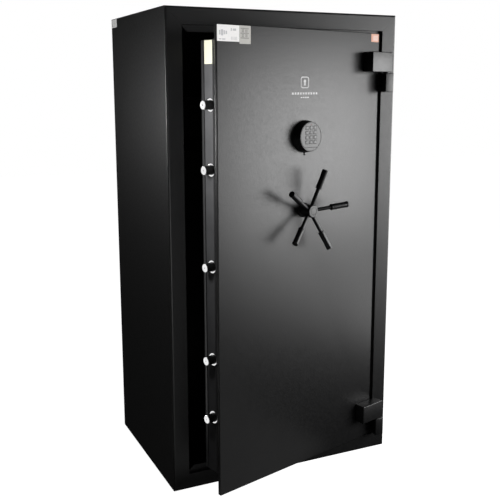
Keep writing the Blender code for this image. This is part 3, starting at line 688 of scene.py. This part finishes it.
def legend(text, size):
    """Raised print of one character, about (0, 0), facing +Z."""
    curve = bpy.data.curves.new("scratch", "FONT")
    curve.body = text
    curve.size = size
    curve.align_x = "CENTER"
    curve.align_y = "CENTER"
    curve.extrude = 0.04 * MM
    curve.resolution_u = 4
    scratch = bpy.data.objects.new("scratch", curve)
    SCENE.collection.objects.link(scratch)
    evaluated = scratch.evaluated_get(bpy.context.evaluated_depsgraph_get())
    mesh = bmesh.new()
    mesh.from_mesh(evaluated.to_mesh())
    evaluated.to_mesh_clear()
    bpy.data.objects.remove(scratch)
    bpy.data.curves.remove(curve)
    return mesh


def keys():
    """Twelve rubber keys with rounded tops and printed legends."""
    upright = Matrix.Rotation(math.radians(90), 4, "X")
    for number, text in enumerate(KEY_LEGENDS, 1):
        low, high = shut_box(f"key_{number:02d}")
        cap = painted(block(low, high, 1.3 * MM, 4), 0)
        print_mesh = painted(legend(text, 7.6 * MM), 1)
        centre = (low + high) / 2
        print_mesh.transform(Matrix.Translation((centre.x, low.y, centre.z)) @ upright)
        piece(f"keypad_key_{number:02d}", joined([cap, print_mesh]), [KEY_RUBBER, KEY_PRINT],
              f"key_{number:02d}", [f"key_{number:02d}"], shut=True)


def keypad():
    """Round housing with a sunk key field, a light, a sliding battery cover and a tab."""
    low, high = shut_box("keypad_housing")
    cover_low, cover_high = shut_box("battery_cover")
    radius = (high.x - low.x) / 2
    out = FACE - low.y
    centre = on_face((low.x + high.x) / 2, high.z - radius)
    rim = radius - 4.5 * MM
    field = rim - 2.6 * MM
    outline = [(0, 0.3 * MM, 0), (radius, 0.3 * MM, 0.8 * MM), (radius, 6 * MM, 1.2 * MM),
               (rim, out, 3.0 * MM), (field + 0.8 * MM, out, 0.2 * MM),
               (field + 0.5 * MM, out - 0.9 * MM, 0.2 * MM), (field, out - 0.9 * MM, 0.2 * MM),
               (field - 0.4 * MM, out - 0.2 * MM, 0.3 * MM), (0, out - 0.2 * MM, 0)]
    reach = radius + 5 * MM
    split = cover_high.z + 0.8 * MM
    outer_corner = (centre.x - reach, low.y - 5 * MM, centre.z - reach)

    def shell():
        """The whole round body, uncut."""
        return placed(lathe(filleted(outline, 8), 96), centre, OUTWARD)

    housing = carved(shell(), block(outer_corner, (centre.x + reach, FACE - 8 * MM, split)))
    pockets = []
    ahead = Vector((0.25, 5, 0.25)) * MM
    behind = Vector((0.25, 1.6, 0.25)) * MM
    for number in range(1, len(KEY_LEGENDS) + 1):
        key_low, key_high = shut_box(f"key_{number:02d}")
        pocket = block(key_low - ahead, key_high + behind)
        deep_edges = [e for e in pocket.edges
                      if abs((e.verts[0].co - e.verts[1].co).normalized().y) > 0.9]
        bmesh.ops.bevel(pocket, geom=deep_edges, offset=1.2 * MM, segments=3, profile=0.5,
                        affect="EDGES")
        pockets.append(pocket)
    housing = carved(housing, joined(pockets))
    piece("keypad_case", housing, [KEYPAD_PLASTIC], "door", ["keypad_housing"], shut=True)

    keep = block(outer_corner, (centre.x + reach, FACE - 8.3 * MM, cover_high.z - 0.3 * MM))
    cover = carved(shell(), keep, "INTERSECT")
    grooves = []
    half = 9 * MM
    for step in range(3):
        z = cover_low.z + (8.2 + 2.0 * step) * MM
        grooves.append(block((centre.x - half, FACE - out - 1 * MM, z),
                             (centre.x + half, FACE - out + 0.45 * MM, z + 0.9 * MM)))
    cover = carved(cover, joined(grooves))
    piece("keypad_battery_cover", cover, [KEYPAD_PLASTIC], "battery_cover",
          ["battery_cover"], shut=True)

    face = Vector((centre.x, FACE - out, centre.z))
    dome = filleted([(0, -0.4 * MM, 0), (1.5 * MM, -0.4 * MM, 0), (1.5 * MM, 0.7 * MM, 1.0 * MM),
                     (0, 1.3 * MM, 0)])
    light = placed(lathe(dome, 32), face + Vector((0, 0.3 * MM, 36.2 * MM)), OUTWARD)
    piece("keypad_light", light, [RED_LENS], "door", shut=True)
    tab_z = centre.z - radius
    tab = block((centre.x - 1.0 * MM, FACE - 3.4 * MM, tab_z - 8.5 * MM),
                (centre.x + 3.4 * MM, FACE - 0.1 * MM, tab_z + 3 * MM), 0.8 * MM)
    piece("keypad_tab", tab, [BLACK_GRIP], "door", shut=True)


# ---------------------------------------------------------------- labels and print
STICKER = 0.15 * MM
PRINT_OUT = STICKER + 0.03 * MM
PRINT_BACK = STICKER - 0.01 * MM
STICKER_BACK = 0.02 * MM


def sticker_on_face(left, bottom, right, top, out=STICKER, back=STICKER_BACK, radius=1.2 * MM):
    """Thin plate on the door's face, in millimetres from the door's left edge and the floor."""
    centre = Vector((DOOR_LEFT + (left + right) / 2 * MM, FACE, (top + bottom) / 2 * MM))
    outline = sheet_outline((right - left) * MM, (top - bottom) * MM, radius)
    ends = [[centre + Vector((a, y, b)) for a, b in outline] for y in (-back, -out)]
    return extruded(*ends)


def mark_on_sticker(left, bottom, width, height, radius):
    """Printed patch that stands just proud of a sticker on the door's face."""
    patch = sticker_on_face(left, bottom, left + width, bottom + height, PRINT_OUT, PRINT_BACK, radius)
    return painted(patch, 1)


def side_sticker(centre, depth, height, radius):
    """Thin plate on a surface that faces left."""
    outline = sheet_outline(depth, height, radius)
    ends = [[centre + Vector((-x, a, b)) for a, b in outline] for x in (STICKER_BACK, STICKER)]
    return extruded(*ends)


def labels():
    """White label with plain bars, grey one with blank cells, and three small stickers."""
    top = PLATE_HIGH.z / MM - 2.2
    white = [painted(sticker_on_face(1.0, top - 44, 79.5, top), 0)]
    for left, bottom, width, height in ((8, 17, 5, 12), (14.5, 15, 8, 16), (24, 18, 5, 11), (31, 19, 5, 9),
                                        (7, 4, 9, 3), (18, 4, 12, 3), (49, 28, 4, 8), (56, 29, 12, 6)):
        white.append(mark_on_sticker(left, top - 44 + bottom, width, height, 0.8 * MM))
    for step in range(5):
        white.append(mark_on_sticker(51 + 4.6 * step, top - 40, 1.6, 9, 0.4 * MM))
    piece("white_label", joined(white), [WHITE_PAPER, PALE_PRINT], "door", shut=True)

    grey = [painted(sticker_on_face(80.0, top - 49, 121.0, top + 0.6), 0)]
    cells = 7
    pitch = 4.3
    side = pitch * 0.82
    for row in range(cells):
        for column in range(cells):
            if (row * row + 3 * column + row * column) % 3 == 1:
                continue
            grey.append(mark_on_sticker(84 + column * pitch, top - 35 + row * pitch, side, side, 0.5 * MM))
    piece("grey_label", joined(grey), [GREY_PAPER, GREY_PRINT], "door", shut=True)

    width = (PLATE_HIGH.x - PLATE_LOW.x) / MM
    orange = [painted(sticker_on_face(width - 38, top - 25, width - 2, top), 0),
              mark_on_sticker(width - 29, top - 21, 22, 16, 1.2 * MM)]
    piece("orange_label", joined(orange), [ORANGE_PAPER, PINK_PAPER], "door", shut=True)

    low = Vector((BOX_LOW.x, BOX_HIGH.y - 60 * MM, BOX_HIGH.z - 66 * MM))
    high = Vector((BOX_LOW.x, BOX_HIGH.y - 0.5 * MM, BOX_HIGH.z - 0.5 * MM))
    yellow = side_sticker((low + high) / 2, high.y - low.y, high.z - low.z, 2 * MM)
    piece("yellow_label", yellow, [YELLOW_PAPER], "door", shut=True)

    low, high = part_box("side_panel_left")
    centre = Vector((low.x, high.y - 31.5 * MM, high.z - 15.5 * MM))
    small = side_sticker(centre, 60 * MM, 27 * MM, 1.5 * MM)
    piece("side_label", small, [WHITE_PAPER], "cabinet")


EMBLEM_Z = 1284.0 * MM                # height of the emblem's middle above the floor


def emblem():
    """Plain keyhole in a square outline with rows of dashes below, in light grey ink."""
    housing_low, housing_high = shut_box("keypad_housing")
    middle = Vector(((housing_low.x + housing_high.x) / 2, FACE, EMBLEM_Z))
    ink_back = 0.01 * MM
    ink_out = 0.06 * MM
    steps = 6
    outer = sheet_outline(34 * MM, 34 * MM, 8 * MM, steps)
    inner = sheet_outline(29 * MM, 29 * MM, 6 * MM, steps)
    ring = bmesh.new()
    loops = []
    for outline, y in ((outer, ink_back), (outer, ink_out), (inner, ink_out), (inner, ink_back)):
        loops.append([ring.verts.new(middle + Vector((a, -y, b))) for a, b in outline])
    for first, second in zip(loops, loops[1:] + loops[:1]):
        for step in range(len(first)):
            after = (step + 1) % len(first)
            ring.faces.new((first[step], first[after], second[after], second[step]))
    bmesh.ops.recalc_face_normals(ring, faces=ring.faces)
    keyhole = arc(0, 3.5 * MM, 5 * MM, -55, 235, 20) + [(-4.4 * MM, -9 * MM), (4.4 * MM, -9 * MM)]
    ends = [[middle + Vector((a, -y, b)) for a, b in keyhole] for y in (ink_back, ink_out)]
    parts = [ring, extruded(*ends)]
    centre = (middle.x - DOOR_LEFT) / MM
    for z, count, width, height, gap in ((1251.5, 10, 7.4, 6.0, 3.6), (1239.5, 4, 6.4, 3.6, 2.6)):
        whole = count * width + (count - 1) * gap
        for step in range(count):
            left = centre - whole / 2 + step * (width + gap)
            parts.append(sticker_on_face(left, z - height / 2, left + width, z + height / 2,
                                         ink_out, ink_back, 1.0 * MM))
    piece("door_emblem", joined(parts), [EMBLEM_INK], "door", shut=True)


# ---------------------------------------------------------------- inside
def inside():
    """Carpeted shelf, padded barrel rest and ribbed floor mat."""
    low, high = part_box("shelf")
    margin = Vector((1, 1, 0)) * MM
    carpet = block(Vector((low.x, low.y, high.z + 0.1 * MM)) + margin,
                   Vector((high.x, high.y, high.z + 2.4 * MM)) - margin, 1 * MM)
    piece("shelf_carpet", carpet, [FELT], "cabinet")

    low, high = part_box("barrel_rest")
    notches = 8
    pitch = 88 * MM
    radius = 19 * MM
    depth = 26 * MM
    outline = [(high.x, low.y), (high.x, high.y), (low.x, high.y), (low.x, low.y)]
    for index in range(notches):
        x = (index - (notches - 1) / 2) * pitch
        outline.append((x - radius, low.y))
        outline += arc(x, low.y + depth, radius, 180, 0, 20)
        outline.append((x + radius, low.y))
    rest = extruded([(a, b, low.z) for a, b in outline], [(a, b, high.z) for a, b in outline])
    rims = [e for e in rest.edges if abs(e.verts[0].co.z - e.verts[1].co.z) < 1e-6]
    bmesh.ops.bevel(rest, geom=rims, offset=4.5 * MM, segments=4, profile=0.5, affect="EDGES",
                    clamp_overlap=True)
    piece("barrel_rest_padding", rest, [FELT], "cabinet", ["barrel_rest"], sharp=60)

    low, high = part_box("floor_mat")
    ribs = 23
    pitch = (high.y - low.y) / ribs
    section = [(low.y, low.z)]
    for rib in range(ribs):
        y = low.y + rib * pitch
        for share, drop in ((0.1, 2), (0.25, 0.4), (0.35, 0), (0.65, 0), (0.75, 0.4), (0.9, 2)):
            section.append((y + share * pitch, high.z - drop * MM))
    section.append((high.y, low.z))
    mat = extruded([(low.x, a, b) for a, b in section], [(high.x, a, b) for a, b in section])
    piece("ribbed_floor_mat", mat, [MAT_RUBBER], "cabinet", ["floor_mat"])


# ---------------------------------------------------------------- studio
CAMERA_PLACE = Vector((-1.152, -2.490, 1.275))
CAMERA_AZIMUTH = -25.39
CAMERA_ELEVATION = 10.48
CAMERA_LENS = 56.66
CAMERA_SHIFT = (-0.0144, -0.0379)
SAFE_MIDDLE = (0.0, 0.0, 0.80)
DOOR_MIDDLE = (0.0, -0.30, 0.80)


def camera():
    """Camera at chest height in front of the safe's left corner, looking a little down."""
    data = bpy.data.cameras.new("camera")
    data.lens = CAMERA_LENS
    data.sensor_width = 36.0
    data.shift_x, data.shift_y = CAMERA_SHIFT
    azimuth = math.radians(CAMERA_AZIMUTH)
    down = math.radians(CAMERA_ELEVATION)
    ahead = Vector((-math.sin(azimuth) * math.cos(down), math.cos(azimuth) * math.cos(down),
                    -math.sin(down)))
    made = bpy.data.objects.new("camera", data)
    made.location = CAMERA_PLACE
    made.rotation_euler = ahead.to_track_quat("-Z", "Y").to_euler()
    SCENE.collection.objects.link(made)
    SCENE.camera = made


def softbox(name, place, aim, size, power, glossy=True, diffuse=True, only=None):
    """Rectangular light at a place, aimed at a point. With a list, it lights only what is in it."""
    data = bpy.data.lights.new(name, "AREA")
    data.shape = "RECTANGLE"
    data.size, data.size_y = size
    data.energy = power
    made = bpy.data.objects.new(name, data)
    made.location = place
    made.rotation_euler = (Vector(aim) - Vector(place)).to_track_quat("-Z", "Y").to_euler()
    made.visible_camera = False
    made.visible_glossy = glossy
    made.visible_diffuse = diffuse
    if only:
        lit = bpy.data.collections.new(name + "_lit")
        for target in only:
            lit.objects.link(target)
        made.light_linking.receiver_collection = lit
    SCENE.collection.objects.link(made)


def world():
    """White backdrop to the camera, dim grey surroundings to the object."""
    made = bpy.data.worlds.new("studio")
    made.use_nodes = True
    tree = made.node_tree
    tree.nodes.clear()
    output = tree.nodes.new("ShaderNodeOutputWorld")
    mix = tree.nodes.new("ShaderNodeMixShader")
    path = tree.nodes.new("ShaderNodeLightPath")
    dim = tree.nodes.new("ShaderNodeBackground")
    dim.inputs["Color"].default_value = (1, 1, 1, 1)
    dim.inputs["Strength"].default_value = 0.016
    white = tree.nodes.new("ShaderNodeBackground")
    white.inputs["Color"].default_value = (1, 1, 1, 1)
    tree.links.new(path.outputs["Is Camera Ray"], mix.inputs["Fac"])
    tree.links.new(dim.outputs["Background"], mix.inputs[1])
    tree.links.new(white.outputs["Background"], mix.inputs[2])
    tree.links.new(mix.outputs["Shader"], output.inputs["Surface"])
    SCENE.world = made


def floor():
    """Pale floor that glows white, so that it takes only a faint shadow. Nothing mirrors it."""
    mesh = bmesh.new()
    bmesh.ops.create_grid(mesh, x_segments=1, y_segments=1, size=9.0)
    data = bpy.data.meshes.new("floor")
    mesh.to_mesh(data)
    mesh.free()
    material = bpy.data.materials.new("pale_floor")
    material.use_nodes = True
    shader = material.node_tree.nodes["Principled BSDF"]
    shader.inputs["Base Color"].default_value = (0.5, 0.5, 0.5, 1)
    shader.inputs["Roughness"].default_value = 1.0
    shader.inputs["Specular IOR Level"].default_value = 0.0
    shader.inputs["Emission Color"].default_value = (1, 1, 1, 1)
    shader.inputs["Emission Strength"].default_value = 1.0
    data.materials.append(material)
    made = bpy.data.objects.new("floor", data)
    made.location = (0, 0, -0.5 * MM)
    SCENE.collection.objects.link(made)
    made.visible_glossy = False
    made.visible_diffuse = False


def lights(bolts, panels, boxes):
    """Softbox at the front right with its bounce off the floor, fills at the left, and cards.

    The bolt card is mirrored by the bolts and the edge of the back cover. The edge fill leaves
    out the keypad, the hinges and the handle. The cards at the front, right and rear and on the
    floor are seen only in reflections.
    """
    softbox("key_light", (2.33, -1.82, 1.08), DOOR_MIDDLE, (2.10, 1.40), 88.0)
    softbox("floor_bounce", (2.35, -1.50, 0.0), (2.35, -1.50, 1.0), (2.0, 3.0), 33.0)
    softbox("left_light", (-1.57, 0.95, 1.17), DOOR_MIDDLE, (0.15, 0.20), 6.5, diffuse=False)
    softbox("left_fill", (-1.00, 0.20, 1.75), (-0.40, 0.15, 1.45), (0.3, 0.3), 2.4, glossy=False)
    softbox("left_low_light", (-1.99, 0.84, 0.14), (-0.30, -0.42, 0.75), (0.16, 1.60), 1.0, only=panels)
    softbox("bolt_card", (-0.69, -0.15, 0.69), (-0.33, -0.42, 0.69), (0.20, 1.40), 0.86, only=bolts)
    softbox("edge_fill", (-0.65, -0.60, 1.21), (-0.30, -0.42, 1.21), (0.12, 0.25), 3.0,
            glossy=False, only=boxes)
    softbox("front_fill", (1.10, -2.40, 1.90), (-0.20, -0.40, 1.20), (0.7, 0.7), 7.5, glossy=False)
    softbox("floor_card", (-0.45, -1.00, 0.002), (-0.45, -1.00, 1.0), (1.4, 1.2), 1.1, diffuse=False)
    softbox("front_card", (-0.90, -2.60, 0.30), SAFE_MIDDLE, (1.8, 1.0), 14.0,
            diffuse=False, only=panels)
    softbox("right_card", (2.60, 0.40, 0.90), SAFE_MIDDLE, (1.8, 1.8), 24.0, diffuse=False)
    softbox("rear_card", (1.70, 2.20, 0.90), SAFE_MIDDLE, (1.8, 1.8), 24.0, diffuse=False)


def studio(bolts, panels, boxes):
    """Camera, backdrop, floor and lights."""
    camera()
    world()
    floor()
    lights(bolts, panels, boxes)
    SCENE.view_settings.view_transform = "Standard"


# ---------------------------------------------------------------- whole
finish_nodes()
panels = [node for name, node in frame["nodes"].items() if "panel" in name or "front_frame" in name]
panels.append(door_plate())
bright = [door_back_cover()]
dark_seal_for_plate_shadow()
hinges()
bright += bolts_and_bushes()
handle()
keys()
keypad()
labels()
emblem()
inside()
standing_out = ("key", "hinge", "handle", "spoke", "battery")
boxes = [made for made in SCENE.objects
         if made.type == "MESH" and not any(word in made.name for word in standing_out)]
studio(bright, panels, boxes)
